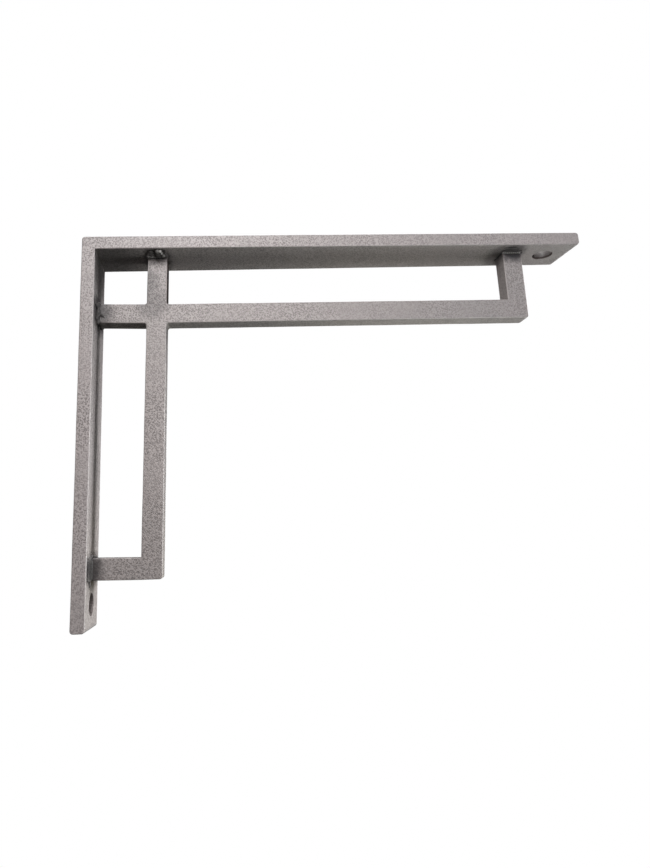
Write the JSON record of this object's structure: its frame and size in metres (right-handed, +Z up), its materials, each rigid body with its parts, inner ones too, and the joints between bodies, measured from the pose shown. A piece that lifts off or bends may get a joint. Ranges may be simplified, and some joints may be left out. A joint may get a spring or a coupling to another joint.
{
  "type": "shelf bracket",
  "caption": "Welded steel shelf bracket: two flat bars at a right angle, braced by a lattice of square bar in the corner, each flat bar with a plain screw hole near its end.",
  "frame": {"origin": "on the wall face of the leg, half way up the bracket and in the middle of the bar's width", "axes": "+X out from the wall along the arm, +Z up the wall, Y across the width of the bars"},
  "size_m": [0.2413, 0.0254, 0.1778],
  "materials": {
    "coated_flat_bar": "fine textured powder coat, warm pewter grey, semi-gloss",
    "coated_square_bar": "fine textured powder coat, warm pewter grey, semi-gloss",
    "coated_weld": "powder coat over weld metal, pewter grey, semi-gloss"
  },
  "bodies": {
    "root": {"shelf_arm": "coated_flat_bar", "wall_leg": "coated_flat_bar", "drop_bar": "coated_square_bar", "rail_stub": "coated_square_bar", "cross_rail": "coated_square_bar", "end_post": "coated_square_bar", "foot_bar": "coated_square_bar", "drop_bar_weld_front": "coated_weld", "drop_bar_weld_back": "coated_weld", "end_post_weld_front": "coated_weld", "end_post_weld_back": "coated_weld", "rail_stub_weld_front": "coated_weld", "rail_stub_weld_back": "coated_weld", "foot_bar_weld_front": "coated_weld", "foot_bar_weld_back": "coated_weld"}
  },
  "joints": []
}
